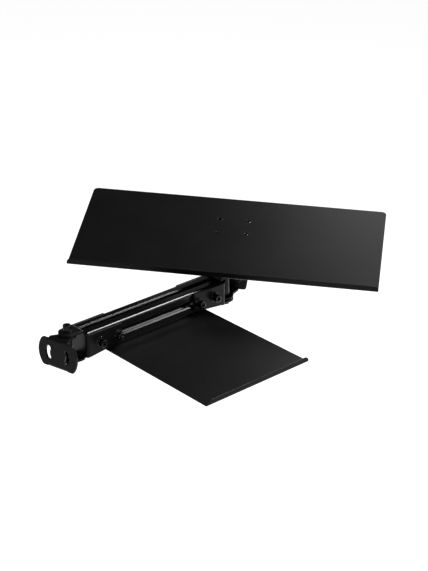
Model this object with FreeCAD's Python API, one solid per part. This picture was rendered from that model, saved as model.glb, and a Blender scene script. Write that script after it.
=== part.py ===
import FreeCAD, Part
import math
import os

# Keyboard tray and mouse tray on a jointed arm, for the side of a driving rig.
# Millimetres. The origin is the middle of the rig plate's mounting face.
# +X points away from the rig, +Z up. Each piece is one solid or one group of like solids.

Vector = FreeCAD.Vector
Rotation = FreeCAD.Rotation
Placement = FreeCAD.Placement
Z_AXIS = Vector(0, 0, 1)

# Joint positions as photographed, in degrees
ARM_TURN = -13.0
TRAY_TURN = 40.0
TRAY_ROLL = 1.8
TRAY_TILT = 13.0

# Bent steel brackets
PLATE_T = 4.0
BEND_R = 2.0
EDGE_R = 0.6
U_HEIGHT = 52.0
EAR_R = 14.0
EAR_ROOT = 19.0
EAR_NECK = 11.5
EAR_NECK_X = 7.0
ARM_EAR_ROOT = 15.0
EAR_STRAIGHT = 2.0
SLIT_W = 1.0
RIG_REACH = 25.0
TRAY_REACH = 33.0

# Plate on the rig, with bulging sides
RIG_PLATE_R = 38.5
RIG_PLATE_CUT = 24.0
RIG_PLATE_CORNER_R = 5.0

# Plate behind the tray pivot, with straight sides
TRAY_PLATE_HALF = 30.5
TRAY_PLATE_CUT = 24.0
TRAY_PLATE_CORNER_R = 2.5

# Curved slots in both plates
SLOT_R = 19.5
SLOT_W = 9.0
SLOT_HALF_ANGLE = 24.0

# Brackets on the ends of the profile
WEB_OFFSET = 20.0
CHEEK_LENGTH = 70.0
CHEEK_TOP_DROP = 2.0
CHEEK_BOTTOM_WEB = 42.0
CHEEK_BOTTOM_END = 34.0
CHEEK_CORNER_R = 2.5
CHEEK_BEND_R = 1.5
SIDE_BOLT_FIRST = 26.0
SIDE_BOLT_LAST = 10.0

# Aluminium profile
PROFILE_W = 40.0
PROFILE_LENGTH = 279.0
PROFILE_CORNER_R = 4.0
GROOVE_W = 8.2
GROOVE_BEVEL = 1.9
GROOVE_LIP = 4.5
GROOVE_DEPTH = 12.2
GROOVE_INNER_W = 20.0
GROOVE_SHOULDER = 3.6
GROOVE_FLOOR_W = 11.0
GROOVE_EDGE_R = 0.3
GROOVE_INNER_R = 0.5
PROFILE_BORE = 6.8

# Screws, washers and nuts of size M8
SCREW_D = 8.0
HEAD_D = 13.0
HEAD_H = 8.0
HEX_AF = 6.0
HEX_DEPTH = 4.0
HEAD_EDGE = 0.8
SHANK_CHAMFER = 0.8
WASHER_D = 17.0
WASHER_T = 1.6
SPRING_D = 13.0
SPRING_T = 2.0
SPRING_GAP = 1.2
NUT_AF = 13.0
NUT_H = 6.5
NUT_EDGE = 0.8
PIVOT_SCREW_L = 65.0
SIDE_SCREW_L = 16.0
CLAMP_SCREW_L = 20.0
FLOOR_SCREW_L = 12.0
BUTTON_D = 14.0
BUTTON_H = 4.4
BUTTON_HEX_DEPTH = 2.6
BUTTON_HEX_AF = 5.0

# Sleeve and thrust washers on the pivots
SLEEVE_D = 14.0
THRUST_D = 24.0
THRUST_GAP = 1.0

# Slot nuts
SLOT_NUT_L = 16.0
SLOT_NUT_W = 15.0
SLOT_NUT_T = 6.0
SLOT_NUT_NECK = 2.0
SLOT_NUT_CHAMFER = 3.6

# Keyboard tray
TRAY_W = 515.0
TRAY_D = 222.0
TRAY_T = 2.0
TRAY_LIP = 12.0
TRAY_HEIGHT = 48.0
TRAY_SET_BACK = 10.0
TRAY_CORNER_R = 8.0
LIP_CORNER_R = 7.0
SHEET_BEND_R = 1.5
SHEET_EDGE_R = 0.45

# Angle bracket under the keyboard tray
MOUNT_T = 4.0
MOUNT_W = 70.0
MOUNT_LOW_W = 64.0
MOUNT_LEG = 72.0
MOUNT_CORNER_R = 10.0
MOUNT_LOW_CORNER_R = 5.0
MOUNT_BEND_R = 3.0
MOUNT_HANG = 26.0
TRAY_SCREW_D = 5.0
TRAY_SCREW_L = 14.0
TRAY_SCREW_HEAD = 9.2
TRAY_SCREW_X = (22.0, 58.0)
TRAY_SCREW_Y = 25.0
TRAY_NUT_AF = 8.0
TRAY_NUT_H = 4.0
TRAY_WASHER_D = 10.0
TRAY_WASHER_T = 1.0
TRAY_HEX_AF = 3.0
TRAY_HEX_DEPTH = 1.8

# Mouse tray
MOUSE_W = 210.0
MOUSE_D = 280.0
MOUSE_START = 40.0
MOUSE_LIP = 10.0
MOUSE_SCREW_PITCH = 120.0

# Clearances
FIT = 0.05
THREAD_FIT = 0.02
HOLE_PLAY = 0.4
GROOVE_PLAY = 0.25

# Derived sizes
STACK = PLATE_T + THRUST_GAP
EAR_INNER = U_HEIGHT / 2 - PLATE_T
ARM_Z = STACK
TRAY_Z = 2 * STACK
HALF = PROFILE_W / 2
PROFILE_TOP = ARM_Z + EAR_INNER
PROFILE_Z = PROFILE_TOP - HALF
PROFILE_BOTTOM = PROFILE_TOP - PROFILE_W
PROFILE_START = WEB_OFFSET + PLATE_T + CHEEK_BEND_R
PIVOT_GAP = PROFILE_LENGTH + 2 * PROFILE_START
CHEEK_OUT = HALF + PLATE_T
HEAD_STACK = WASHER_T + SPRING_T
PIN_R = SCREW_D / 2
RUN_R = PIN_R + FIT
THREAD_R = PIN_R + THREAD_FIT
CLEAR_R = PIN_R + HOLE_PLAY


# Frames

def shift(x, y, z):
    return Placement(Vector(x, y, z), Rotation())


def turn(axis, degrees):
    return Placement(Vector(0, 0, 0), Rotation(axis, degrees))


RIG_FRAME = shift(RIG_REACH, 0, 0)
ARM_FRAME = RIG_FRAME.multiply(turn(Z_AXIS, ARM_TURN))
FAR_FRAME = ARM_FRAME.multiply(shift(PIVOT_GAP, 0, 0))
TRAY_BRACKET_FRAME = FAR_FRAME.multiply(turn(Z_AXIS, TRAY_TURN))
ROLL_FRAME = TRAY_BRACKET_FRAME.multiply(shift(TRAY_REACH, 0, TRAY_Z)).multiply(
    turn(Vector(1, 0, 0), TRAY_ROLL))
TRAY_RISE = TRAY_HEIGHT + PROFILE_TOP - TRAY_Z
TRAY_FRAME = ROLL_FRAME.multiply(shift(TRAY_SET_BACK, 0, TRAY_RISE)).multiply(
    turn(Vector(0, 1, 0), -TRAY_TILT))


def placed(shape, frame):
    copy = shape.copy()
    copy.Placement = frame.multiply(copy.Placement)
    return copy


def group(shapes):
    return Part.makeCompound(shapes)


# Basic forms

def box(x0, x1, y0, y1, z0, z1):
    return Part.makeBox(x1 - x0, y1 - y0, z1 - z0, Vector(x0, y0, z0))


def rod(radius, z0, z1, x=0.0, y=0.0):
    return Part.makeCylinder(radius, z1 - z0, Vector(x, y, z0))


def ring(outer_r, inner_r, z0, z1):
    return rod(outer_r, z0, z1).cut(rod(inner_r, z0 - 1, z1 + 1))


def rounded_face(corners):
    """A flat face through corners (x, y, radius), each turned with its own radius."""
    edges = []
    count = len(corners)
    ends = []
    for i, (x, y, radius) in enumerate(corners):
        here = Vector(x, y, 0)
        before = Vector(*corners[i - 1][:2], 0) - here
        after = Vector(*corners[(i + 1) % count][:2], 0) - here
        before.normalize()
        after.normalize()
        if radius <= 0:
            ends.append((here, None, here))
            continue
        half = before.getAngle(after) / 2
        reach = radius / math.tan(half)
        middle = before + after
        middle.normalize()
        centre = here + middle * (radius / math.sin(half))
        ends.append((here + before * reach, centre - middle * radius, here + after * reach))
    for i, (start, through, end) in enumerate(ends):
        if through is not None:
            edges.append(Part.Arc(start, through, end).toShape())
        following = ends[(i + 1) % count][0]
        if (following - end).Length > 1e-6:
            edges.append(Part.LineSegment(end, following).toShape())
    return Part.Face(Part.Wire(edges))


def prism(corners, z0, z1):
    face = rounded_face(corners)
    face.translate(Vector(0, 0, z0))
    return face.extrude(Vector(0, 0, z1 - z0))


def prism_xz(corners, y0, y1):
    """Prism whose outline is drawn in X and Z, from y0 to y1."""
    solid = prism(corners, -y1, -y0)
    return placed(solid, turn(Vector(1, 0, 0), 90))


def prism_yz(corners, x0, x1):
    """Prism whose outline is drawn in Y and Z, from x0 to x1."""
    solid = prism(corners, x0, x1)
    return placed(solid, Placement(Vector(0, 0, 0), Rotation(Vector(1, 1, 1), 120)))


def hexagon(across_flats, z0, z1):
    radius = across_flats / math.sqrt(3)
    points = []
    for i in range(6):
        angle = math.radians(60 * i)
        points.append((radius * math.cos(angle), radius * math.sin(angle), 0))
    return prism(points, z0, z1)


def on_plane(edge, axis, value):
    """True for an edge whose ends and middle all lie at one coordinate."""
    middle = edge.valueAt((edge.FirstParameter + edge.LastParameter) / 2)
    points = [vertex.Point for vertex in edge.Vertexes] + [middle]
    return all(abs(getattr(point, axis) - value) < 1e-3 for point in points)


def soften(solid, axis, values, radius):
    """Round the edges of the two faces at the given coordinates."""
    edges = [edge for edge in solid.Edges if any(on_plane(edge, axis, v) for v in values)]
    return solid.makeFillet(radius, edges)


# Screws, washers and nuts, with the axis on Z and the clamped face at z = 0

def socket_screw(length, shank_top=0.0):
    """Cylinder head above z = shank_top, shank below it."""
    head = rod(HEAD_D / 2, 0, HEAD_H)
    head = soften(head, "z", [HEAD_H], HEAD_EDGE)
    head = head.cut(hexagon(HEX_AF, HEAD_H - HEX_DEPTH, HEAD_H + 1))
    shank = rod(PIN_R, -length, 0)
    shank = shank.makeChamfer(SHANK_CHAMFER, [e for e in shank.Edges if on_plane(e, "z", -length)])
    screw = head.fuse(shank).removeSplitter()
    screw.translate(Vector(0, 0, shank_top))
    return screw


def button_screw(length, shank_top=0.0):
    """Low domed head above z = shank_top, shank below it."""
    sphere_r = (BUTTON_D ** 2 / 4 + BUTTON_H ** 2) / (2 * BUTTON_H)
    dome = Part.makeSphere(sphere_r, Vector(0, 0, BUTTON_H - sphere_r))
    head = dome.common(rod(BUTTON_D / 2, 0, BUTTON_H + 1))
    head = head.cut(hexagon(BUTTON_HEX_AF, BUTTON_H - BUTTON_HEX_DEPTH, BUTTON_H + 1))
    shank = rod(PIN_R, -length, 0)
    shank = shank.makeChamfer(SHANK_CHAMFER, [e for e in shank.Edges if on_plane(e, "z", -length)])
    screw = head.fuse(shank).removeSplitter()
    screw.translate(Vector(0, 0, shank_top))
    return screw


def flat_washer(z0=0.0):
    washer = ring(WASHER_D / 2, CLEAR_R, z0, z0 + WASHER_T)
    return washer


def spring_washer(z0=0.0):
    washer = ring(SPRING_D / 2, CLEAR_R - HOLE_PLAY / 2, z0, z0 + SPRING_T)
    slit = box(0, SPRING_D, -SPRING_GAP / 2, SPRING_GAP / 2, -SPRING_T, 2 * SPRING_T)
    slit = placed(slit, turn(Vector(1, 0, 0), 20))
    slit.translate(Vector(0, 0, z0 + SPRING_T / 2))
    return washer.cut(slit)


def hex_nut(z0=0.0):
    """Hexagon nut above z0, its outer corners turned down."""
    body = hexagon(NUT_AF, z0, z0 + NUT_H)
    disc = rod(NUT_AF / math.sqrt(3), z0, z0 + NUT_H)
    disc = disc.makeChamfer(NUT_EDGE, [e for e in disc.Edges if on_plane(e, "z", z0 + NUT_H)])
    return body.common(disc).cut(rod(THREAD_R, z0 - 1, z0 + NUT_H + 1))


def slot_nut():
    """Nut for the profile's groove: the groove's mouth is at z = 0 and its floor below."""
    top = -GROOVE_LIP - FIT
    body = box(-SLOT_NUT_L / 2, SLOT_NUT_L / 2, -SLOT_NUT_W / 2, SLOT_NUT_W / 2,
               top - SLOT_NUT_T, top)
    neck_w = GROOVE_W - 2 * GROOVE_PLAY
    neck = box(-SLOT_NUT_L / 2, SLOT_NUT_L / 2, -neck_w / 2, neck_w / 2, top, top + SLOT_NUT_NECK)
    under = [e for e in body.Edges if on_plane(e, "z", top - SLOT_NUT_T)]
    long_edges = [e for e in under if on_plane(e, "y", e.Vertexes[0].Y)]
    body = body.makeChamfer(SLOT_NUT_CHAMFER, long_edges)
    bore = rod(THREAD_R, top - SLOT_NUT_T - 1, 1)
    return body.fuse(neck).cut(bore).removeSplitter()


# Brackets with a round-sided slotted plate, seen from the pivot: plate at +X

def curved_slot(x0, x1):
    """Two slots on a circle round the plate's middle, as one cutting tool."""
    outer = SLOT_R + SLOT_W / 2
    inner = SLOT_R - SLOT_W / 2
    band = ring(outer, inner, x0, x1)
    half = math.radians(SLOT_HALF_ANGLE)
    far = 2 * outer
    tools = []
    for side in (1, -1):
        wedge = prism([(0, 0, 0), (side * far * math.cos(half), far * math.sin(half), 0),
                       (side * far * math.cos(half), -far * math.sin(half), 0)], x0, x1)
        tool = band.common(wedge)
        for end in (1, -1):
            tool = tool.fuse(rod(SLOT_W / 2, x0, x1, side * SLOT_R * math.cos(half),
                                 end * SLOT_R * math.sin(half)))
        tools.append(placed(tool, Placement(Vector(0, 0, 0), Rotation(Vector(1, 1, 1), 120))))
    return tools


def rig_plate(reach):
    """Plate with bulging sides, its outer face at x = reach."""
    disc = rod(RIG_PLATE_R, reach - PLATE_T, reach)
    disc = placed(disc, Placement(Vector(0, 0, 0), Rotation(Vector(1, 1, 1), 120)))
    cut = RIG_PLATE_CUT
    plate = disc.common(box(reach - PLATE_T, reach, -RIG_PLATE_R, RIG_PLATE_R, -cut, cut))
    corners = []
    for edge in plate.Edges:
        ends = [vertex.Point for vertex in edge.Vertexes]
        across = len(ends) == 2 and abs(ends[0].x - ends[1].x) > PLATE_T / 2
        if across and abs(abs(ends[0].z) - cut) < 1e-3:
            corners.append(edge)
    plate = plate.makeFillet(RIG_PLATE_CORNER_R, corners)
    return soften(plate, "x", [reach - PLATE_T, reach], EDGE_R)


def tray_plate(reach):
    """Plate with straight sides, its outer face at x = reach."""
    half = TRAY_PLATE_HALF
    cut = TRAY_PLATE_CUT
    radius = TRAY_PLATE_CORNER_R
    outline = [(-half, -cut, radius), (half, -cut, radius), (half, cut, radius), (-half, cut, radius)]
    return soften(prism_yz(outline, reach - PLATE_T, reach), "x", [reach - PLATE_T, reach], EDGE_R)


def slotted(plate, reach):
    """Cut the curved slots, the bend's place and the slits beside it out of a plate."""
    for tool in curved_slot(reach - PLATE_T - 1, reach + 1):
        plate = plate.cut(tool)
    straight = EAR_INNER - BEND_R
    for side in (1, -1):
        z0, z1 = sorted((side * straight, side * U_HEIGHT))
        width = EAR_ROOT + SLIT_W
        plate = plate.cut(box(reach - PLATE_T - 1, reach + 1, -width, width, z0, z1))
    return plate


def u_band(reach, half_width):
    """Plate middle, two bends and two ears, as one band of constant width."""
    outer = U_HEIGHT / 2
    outer_r = BEND_R + PLATE_T
    far = -2 * EAR_R
    body = prism_xz([(far, -outer, 0), (reach, -outer, outer_r), (reach, outer, outer_r), (far, outer, 0)],
                    -half_width, half_width)
    inner = EAR_INNER
    hollow = prism_xz([(far - 1, -inner, 0), (reach - PLATE_T, -inner, BEND_R),
                       (reach - PLATE_T, inner, BEND_R), (far - 1, inner, 0)],
                      -half_width - 1, half_width + 1)
    return body.cut(hollow)


def ear_outline(reach, z0, z1):
    """Plan of the ears: round about the pivot, a neck, then widening to the bend."""
    root_x = reach - PLATE_T - BEND_R - EAR_STRAIGHT
    flare = prism([(0, -EAR_NECK, 0), (EAR_NECK_X, -EAR_NECK, 0), (root_x, -EAR_ROOT, 0),
                   (reach + 1, -EAR_ROOT, 0), (reach + 1, EAR_ROOT, 0), (root_x, EAR_ROOT, 0),
                   (EAR_NECK_X, EAR_NECK, 0), (0, EAR_NECK, 0)], z0, z1)
    return rod(EAR_R, z0, z1).fuse(flare).removeSplitter()


def ear_rims(band, outer, bend_x):
    """Edges round the outer faces of both ears, without the line where the bend starts."""
    rims = []
    for edge in band.Edges:
        on_ear = on_plane(edge, "z", outer) or on_plane(edge, "z", -outer)
        if on_ear and not on_plane(edge, "x", bend_x):
            rims.append(edge)
    return rims


def u_bracket(reach, plate, pivot_hole):
    """Bent bracket with a slotted plate and two ears about the pivot at x = 0."""
    outer = U_HEIGHT / 2
    band = u_band(reach, 2 * EAR_ROOT).common(ear_outline(reach, -outer - 1, outer + 1))
    band = band.makeFillet(EDGE_R, ear_rims(band, outer, reach - BEND_R - PLATE_T))
    for tool in curved_slot(reach - PLATE_T - 1, reach + 1):
        band = band.cut(tool)
    bracket = band.fuse(slotted(plate, reach)).removeSplitter()
    return bracket.cut(rod(pivot_hole, -outer - 1, outer + 1))


# Brackets that hold the ends of the profile: pivot at x = 0, profile from +X

def cheek_shell():
    """Web and two cheeks as a band bent round the end of the profile."""
    out = CHEEK_OUT
    far = WEB_OFFSET + CHEEK_LENGTH
    outer_r = CHEEK_BEND_R + PLATE_T
    body = prism([(WEB_OFFSET, -out, outer_r), (far, -out, 0), (far, out, 0), (WEB_OFFSET, out, outer_r)],
                 -U_HEIGHT / 2, U_HEIGHT / 2)
    hollow = prism([(WEB_OFFSET + PLATE_T, -HALF, CHEEK_BEND_R), (far + 1, -HALF, 0),
                    (far + 1, HALF, 0), (WEB_OFFSET + PLATE_T, HALF, CHEEK_BEND_R)],
                   -U_HEIGHT / 2 - 1, U_HEIGHT / 2 + 1)
    return body.cut(hollow)


def cheek_side():
    """Side view of web and cheeks, with the rising lower edge."""
    top = EAR_INNER - CHEEK_TOP_DROP
    web_x = WEB_OFFSET - 1
    far = WEB_OFFSET + CHEEK_LENGTH
    low_web = EAR_INNER - CHEEK_BOTTOM_WEB
    low_end = EAR_INNER - CHEEK_BOTTOM_END
    fall = (low_end - low_web) / CHEEK_LENGTH
    return prism_xz([(web_x, low_web - fall, 0), (far, low_end, CHEEK_CORNER_R),
                     (far, top, CHEEK_CORNER_R), (web_x, top, 0)],
                    -CHEEK_OUT - 1, CHEEK_OUT + 1)


def arm_ears(pivot_hole):
    """Two ears and the strip of web between them, bent from one piece."""
    outer = U_HEIGHT / 2
    outer_r = BEND_R + PLATE_T
    face = WEB_OFFSET
    bend_x = face + PLATE_T - outer_r
    far = -2 * EAR_R
    wide = ARM_EAR_ROOT
    body = prism_xz([(far, -outer, 0), (face + PLATE_T, -outer, outer_r),
                     (face + PLATE_T, outer, outer_r), (far, outer, 0)], -wide, wide)
    hollow = prism_xz([(far - 1, -EAR_INNER, 0), (face, -EAR_INNER, BEND_R),
                       (face, EAR_INNER, BEND_R), (far - 1, EAR_INNER, 0)], -wide - 1, wide + 1)
    root_x = bend_x - EAR_STRAIGHT
    tangent = math.atan2(wide, root_x) + math.acos(EAR_R / math.hypot(wide, root_x))
    touch_x = EAR_R * math.cos(tangent)
    touch_y = EAR_R * math.sin(tangent)
    low = -outer - 1
    high = outer + 1
    flare = prism([(touch_x, -touch_y, 0), (root_x, -wide, 0), (face + PLATE_T, -wide, 0),
                   (face + PLATE_T, wide, 0), (root_x, wide, 0), (touch_x, touch_y, 0)], low, high)
    plan = rod(EAR_R, low, high).fuse(flare).removeSplitter()
    ears = body.cut(hollow).common(plan)
    ears = ears.makeFillet(EDGE_R, ear_rims(ears, outer, bend_x))
    return ears.cut(rod(pivot_hole, low, high))


def side_bolt_places():
    """Screws on both cheeks: x along the profile and the side."""
    places = []
    for side in (-1, 1):
        for x in (SIDE_BOLT_FIRST, CHEEK_LENGTH - SIDE_BOLT_LAST):
            places.append((WEB_OFFSET + x, side))
    return places


def side_frame(x, side):
    """Frame on a cheek's outer face with Z pointing out of it."""
    place = shift(x, side * CHEEK_OUT, PROFILE_Z - ARM_Z)
    return place.multiply(turn(Vector(1, 0, 0), -90 * side))


def arm_bracket(pivot_hole):
    shell = cheek_shell().common(cheek_side())
    out = CHEEK_OUT
    cheek_rim = [e for e in shell.Edges if (on_plane(e, "y", out) or on_plane(e, "y", -out))
                 and not on_plane(e, "x", WEB_OFFSET + CHEEK_BEND_R + PLATE_T)]
    shell = shell.makeFillet(EDGE_R, cheek_rim)
    for x, side in side_bolt_places():
        hole = placed(rod(CLEAR_R, -PLATE_T - 1, 1), side_frame(x, side))
        shell = shell.cut(hole)
    return shell.fuse(arm_ears(pivot_hole)).removeSplitter()


# Aluminium profile, along +X in the arm frame

def profile_outline():
    """Quarter of the section's outline, groove on the +Y side, then turned four times."""
    mouth = GROOVE_W / 2
    bevel = mouth + GROOVE_BEVEL
    inner = GROOVE_INNER_W / 2
    floor = GROOVE_FLOOR_W / 2
    lip = HALF - GROOVE_LIP
    shoulder = lip - GROOVE_SHOULDER
    bottom = HALF - GROOVE_DEPTH
    edge_r = GROOVE_EDGE_R
    inner_r = GROOVE_INNER_R
    quarter = [(HALF, HALF, PROFILE_CORNER_R), (bevel, HALF, edge_r), (mouth, HALF - GROOVE_BEVEL, edge_r),
               (mouth, lip, 0), (inner, lip, inner_r), (inner, shoulder, inner_r), (floor, bottom, inner_r)]
    mirrored = [(-x, y, r) for x, y, r in reversed(quarter[1:])]
    side = quarter + mirrored
    points = []
    for k in range(4):
        angle = math.radians(90 * k)
        for x, y, r in side:
            points.append((x * math.cos(angle) - y * math.sin(angle),
                           x * math.sin(angle) + y * math.cos(angle), r))
    return points


def arm_profile():
    section = rounded_face(profile_outline())
    bar = section.extrude(Vector(0, 0, PROFILE_LENGTH))
    bar = bar.cut(rod(PROFILE_BORE / 2, -1, PROFILE_LENGTH + 1))
    lie = Placement(Vector(PROFILE_START, 0, PROFILE_Z), Rotation(Vector(1, 1, 1), 120))
    return placed(bar, lie)


# Trays: bent sheet, width along Y, lip at -X, top face at z = 0

def lipped_sheet(x_lip, x_back, half_w, thickness, lip, corner_r, lip_corner_r):
    outer_r = SHEET_BEND_R + thickness
    section = [(x_lip, -thickness, outer_r), (x_back, -thickness, 0), (x_back, 0, 0),
               (x_lip + thickness, 0, SHEET_BEND_R), (x_lip + thickness, lip - thickness, 0),
               (x_lip, lip - thickness, 0)]
    sheet = prism_xz(section, -half_w, half_w)
    plan = prism([(x_lip - 1, -half_w, 0), (x_back, -half_w, corner_r), (x_back, half_w, corner_r),
                  (x_lip - 1, half_w, 0)], -thickness - 1, lip + 1)
    front = prism_yz([(-half_w, -thickness - 1, 0), (half_w, -thickness - 1, 0),
                      (half_w, lip - thickness, lip_corner_r), (-half_w, lip - thickness, lip_corner_r)],
                     x_lip - 1, x_back + 1)
    sheet = sheet.common(plan).common(front)
    edges = []
    for edge in sheet.Edges:
        if edge.Length < 2.5 * thickness:
            continue
        flat = on_plane(edge, "z", 0) or on_plane(edge, "z", -thickness)
        upright = on_plane(edge, "x", x_lip) or on_plane(edge, "x", x_lip + thickness)
        bend = on_plane(edge, "x", x_lip + outer_r) or on_plane(edge, "z", outer_r - thickness)
        if (flat or upright) and not bend:
            edges.append(edge)
    return sheet.makeFillet(SHEET_EDGE_R, edges)


def countersink(x, y):
    """Cone and hole for a flat-headed tray screw, entering from z = 0."""
    radius = TRAY_SCREW_HEAD / 2 + FIT
    hole_r = TRAY_SCREW_D / 2 + HOLE_PLAY / 2
    cone = Part.makeCone(hole_r, radius, radius - hole_r, Vector(x, y, hole_r - radius))
    return cone.fuse(rod(hole_r, -TRAY_T - 1, 1, x, y)).fuse(rod(radius, 0, 1, x, y))


def keyboard_tray():
    half_d = TRAY_D / 2
    sheet = lipped_sheet(-half_d, half_d, TRAY_W / 2, TRAY_T, TRAY_LIP, TRAY_CORNER_R, LIP_CORNER_R)
    for x, y in tray_screw_places():
        sheet = sheet.cut(countersink(x, y))
    return sheet


def leg_start():
    """Where the angle bracket's upright meets the tray's underside, in the tray frame."""
    upright_mid = MOUNT_T / 2 - TRAY_SET_BACK
    return upright_mid / math.cos(math.radians(TRAY_TILT))


def tray_screw_places():
    places = []
    for x in TRAY_SCREW_X:
        for side in (-1, 1):
            places.append((leg_start() + x, side * TRAY_SCREW_Y))
    return places


def tray_mount():
    """Angle bracket in the roll frame: upright on the slotted plate, leg under the tray."""
    tilt = math.radians(TRAY_TILT)
    lift = -TRAY_T / math.cos(tilt)
    rise = math.tan(tilt)

    def under(x):
        return TRAY_RISE + (x - TRAY_SET_BACK) * rise + lift

    drop = MOUNT_T / math.cos(tilt)
    far = MOUNT_T + MOUNT_LEG * math.cos(tilt)
    outer_r = MOUNT_BEND_R + MOUNT_T
    section = [(0, -MOUNT_HANG, 0), (MOUNT_T, -MOUNT_HANG, 0),
               (MOUNT_T, under(MOUNT_T) - drop, MOUNT_BEND_R),
               (far + math.sin(tilt) * MOUNT_T, under(far + math.sin(tilt) * MOUNT_T) - drop, 0),
               (far, under(far), 0), (0, under(0), outer_r)]
    angle = prism_xz(section, -MOUNT_W / 2, MOUNT_W / 2)
    low = MOUNT_LOW_W / 2
    front = prism_yz([(-low, -MOUNT_HANG, MOUNT_LOW_CORNER_R), (low, -MOUNT_HANG, MOUNT_LOW_CORNER_R),
                      (MOUNT_W / 2, 0, 0), (MOUNT_W / 2, TRAY_RISE + MOUNT_LEG, 0),
                      (-MOUNT_W / 2, TRAY_RISE + MOUNT_LEG, 0), (-MOUNT_W / 2, 0, 0)], -1, far + MOUNT_LEG)
    plan = prism([(-1, -MOUNT_W / 2, 0), (far, -MOUNT_W / 2, MOUNT_CORNER_R),
                  (far, MOUNT_W / 2, MOUNT_CORNER_R), (-1, MOUNT_W / 2, 0)],
                 -MOUNT_HANG - 1, TRAY_RISE + MOUNT_LEG)
    angle = angle.common(front).common(plan)
    for side in (-1, 1):
        hole = placed(rod(CLEAR_R, -1, MOUNT_T + 1), shift(0, side * SLOT_R, 0).multiply(
            turn(Vector(0, 1, 0), 90)))
        angle = angle.cut(hole)
    to_tray = shift(TRAY_SET_BACK, 0, TRAY_RISE).multiply(turn(Vector(0, 1, 0), -TRAY_TILT))
    for x, y in tray_screw_places():
        hole = rod(TRAY_SCREW_D / 2 + HOLE_PLAY / 2, -TRAY_T - 3 * MOUNT_T, 1, x, y)
        angle = angle.cut(placed(hole, to_tray))
    return angle


def tray_screw():
    """Flat-headed screw, its head flush with z = 0."""
    radius = TRAY_SCREW_HEAD / 2
    shank_r = TRAY_SCREW_D / 2
    cone = Part.makeCone(shank_r, radius, radius - shank_r, Vector(0, 0, shank_r - radius))
    screw = cone.fuse(rod(shank_r, -TRAY_SCREW_L, 0)).removeSplitter()
    return screw.cut(hexagon(TRAY_HEX_AF, -TRAY_HEX_DEPTH, 1))


def tray_screws():
    return group([placed(tray_screw(), shift(x, y, 0)) for x, y in tray_screw_places()])


def tray_nuts():
    """Small washers and nuts under the angle bracket's leg."""
    nuts = []
    z = -TRAY_T - MOUNT_T
    bore = TRAY_SCREW_D / 2 + THREAD_FIT
    for x, y in tray_screw_places():
        nut = hexagon(TRAY_NUT_AF, z - TRAY_WASHER_T - TRAY_NUT_H, z - TRAY_WASHER_T)
        nut = nut.cut(rod(bore, z - TRAY_WASHER_T - TRAY_NUT_H - 1, z))
        nuts.append(placed(nut, shift(x, y, 0)))
    return group(nuts)


def tray_washers():
    washers = []
    z = -TRAY_T - MOUNT_T
    bore = TRAY_SCREW_D / 2 + HOLE_PLAY / 2
    for x, y in tray_screw_places():
        washer = ring(TRAY_WASHER_D / 2, bore, z - TRAY_WASHER_T, z)
        washers.append(placed(washer, shift(x, y, 0)))
    return group(washers)


def mouse_screw_places():
    middle = WEB_OFFSET + MOUSE_START + MOUSE_W / 2
    return [middle - MOUSE_SCREW_PITCH / 2, middle + MOUSE_SCREW_PITCH / 2]


def mouse_tray():
    """Sheet under the profile, in the arm frame, its lip away from the driver's seat."""
    sheet = lipped_sheet(-MOUSE_D + HALF, HALF, MOUSE_W / 2, TRAY_T, MOUSE_LIP, TRAY_CORNER_R, LIP_CORNER_R)
    frame = shift(WEB_OFFSET + MOUSE_START + MOUSE_W / 2, 0, PROFILE_BOTTOM).multiply(turn(Z_AXIS, 90))
    sheet = placed(sheet, frame)
    for x in mouse_screw_places():
        sheet = sheet.cut(rod(CLEAR_R, PROFILE_BOTTOM - TRAY_T - 1, PROFILE_BOTTOM + 1, x, 0))
    return sheet


def floor_frame(x):
    """Frame on the mouse tray's underside with Z pointing down."""
    return shift(x, 0, PROFILE_BOTTOM - TRAY_T).multiply(turn(Vector(1, 0, 0), 180))


# Stacks of hardware

def pivot_stack(frame, head_z, ear_top, sleeve_top, sleeve_bottom):
    """Screw, washers, sleeve and thrust washers of one pivot, in its own frame."""
    screw = placed(socket_screw(PIVOT_SCREW_L, head_z), frame)
    washers = group([placed(flat_washer(ear_top + FIT), frame),
                     placed(spring_washer(ear_top + FIT + WASHER_T), frame)])
    sleeve = placed(ring(SLEEVE_D / 2, CLEAR_R - HOLE_PLAY / 2, sleeve_bottom, sleeve_top), frame)
    return screw, washers, sleeve


def pivot_nut(frame, ear_bottom):
    """Nut under the lower ear."""
    under = frame.multiply(shift(0, 0, ear_bottom)).multiply(turn(Vector(1, 0, 0), 180))
    return placed(hex_nut(), under)


def thrust_washers(frame, low_z, high_z):
    rings = []
    for z in (low_z, high_z):
        rings.append(placed(ring(THRUST_D / 2, RUN_R + FIT, z + FIT, z + THRUST_GAP - FIT), frame))
    return group(rings)


def end_frames():
    """Bracket frames at both ends of the profile, each with X towards the profile."""
    lift = shift(0, 0, ARM_Z)
    near = ARM_FRAME.multiply(lift)
    far = FAR_FRAME.multiply(lift).multiply(turn(Z_AXIS, 180))
    return near, far


def side_hardware(frame):
    """Screws, flat washers, spring washers and slot nuts of one profile end."""
    screws = []
    flats = []
    springs = []
    nuts = []
    for x, side in side_bolt_places():
        here = frame.multiply(side_frame(x, side))
        screws.append(placed(socket_screw(SIDE_SCREW_L, HEAD_STACK), here))
        flats.append(placed(flat_washer(), here))
        springs.append(placed(spring_washer(WASHER_T), here))
        nuts.append(placed(slot_nut(), here.multiply(shift(0, 0, -PLATE_T))))
    return group(screws), group(flats), group(springs), group(nuts)


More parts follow.
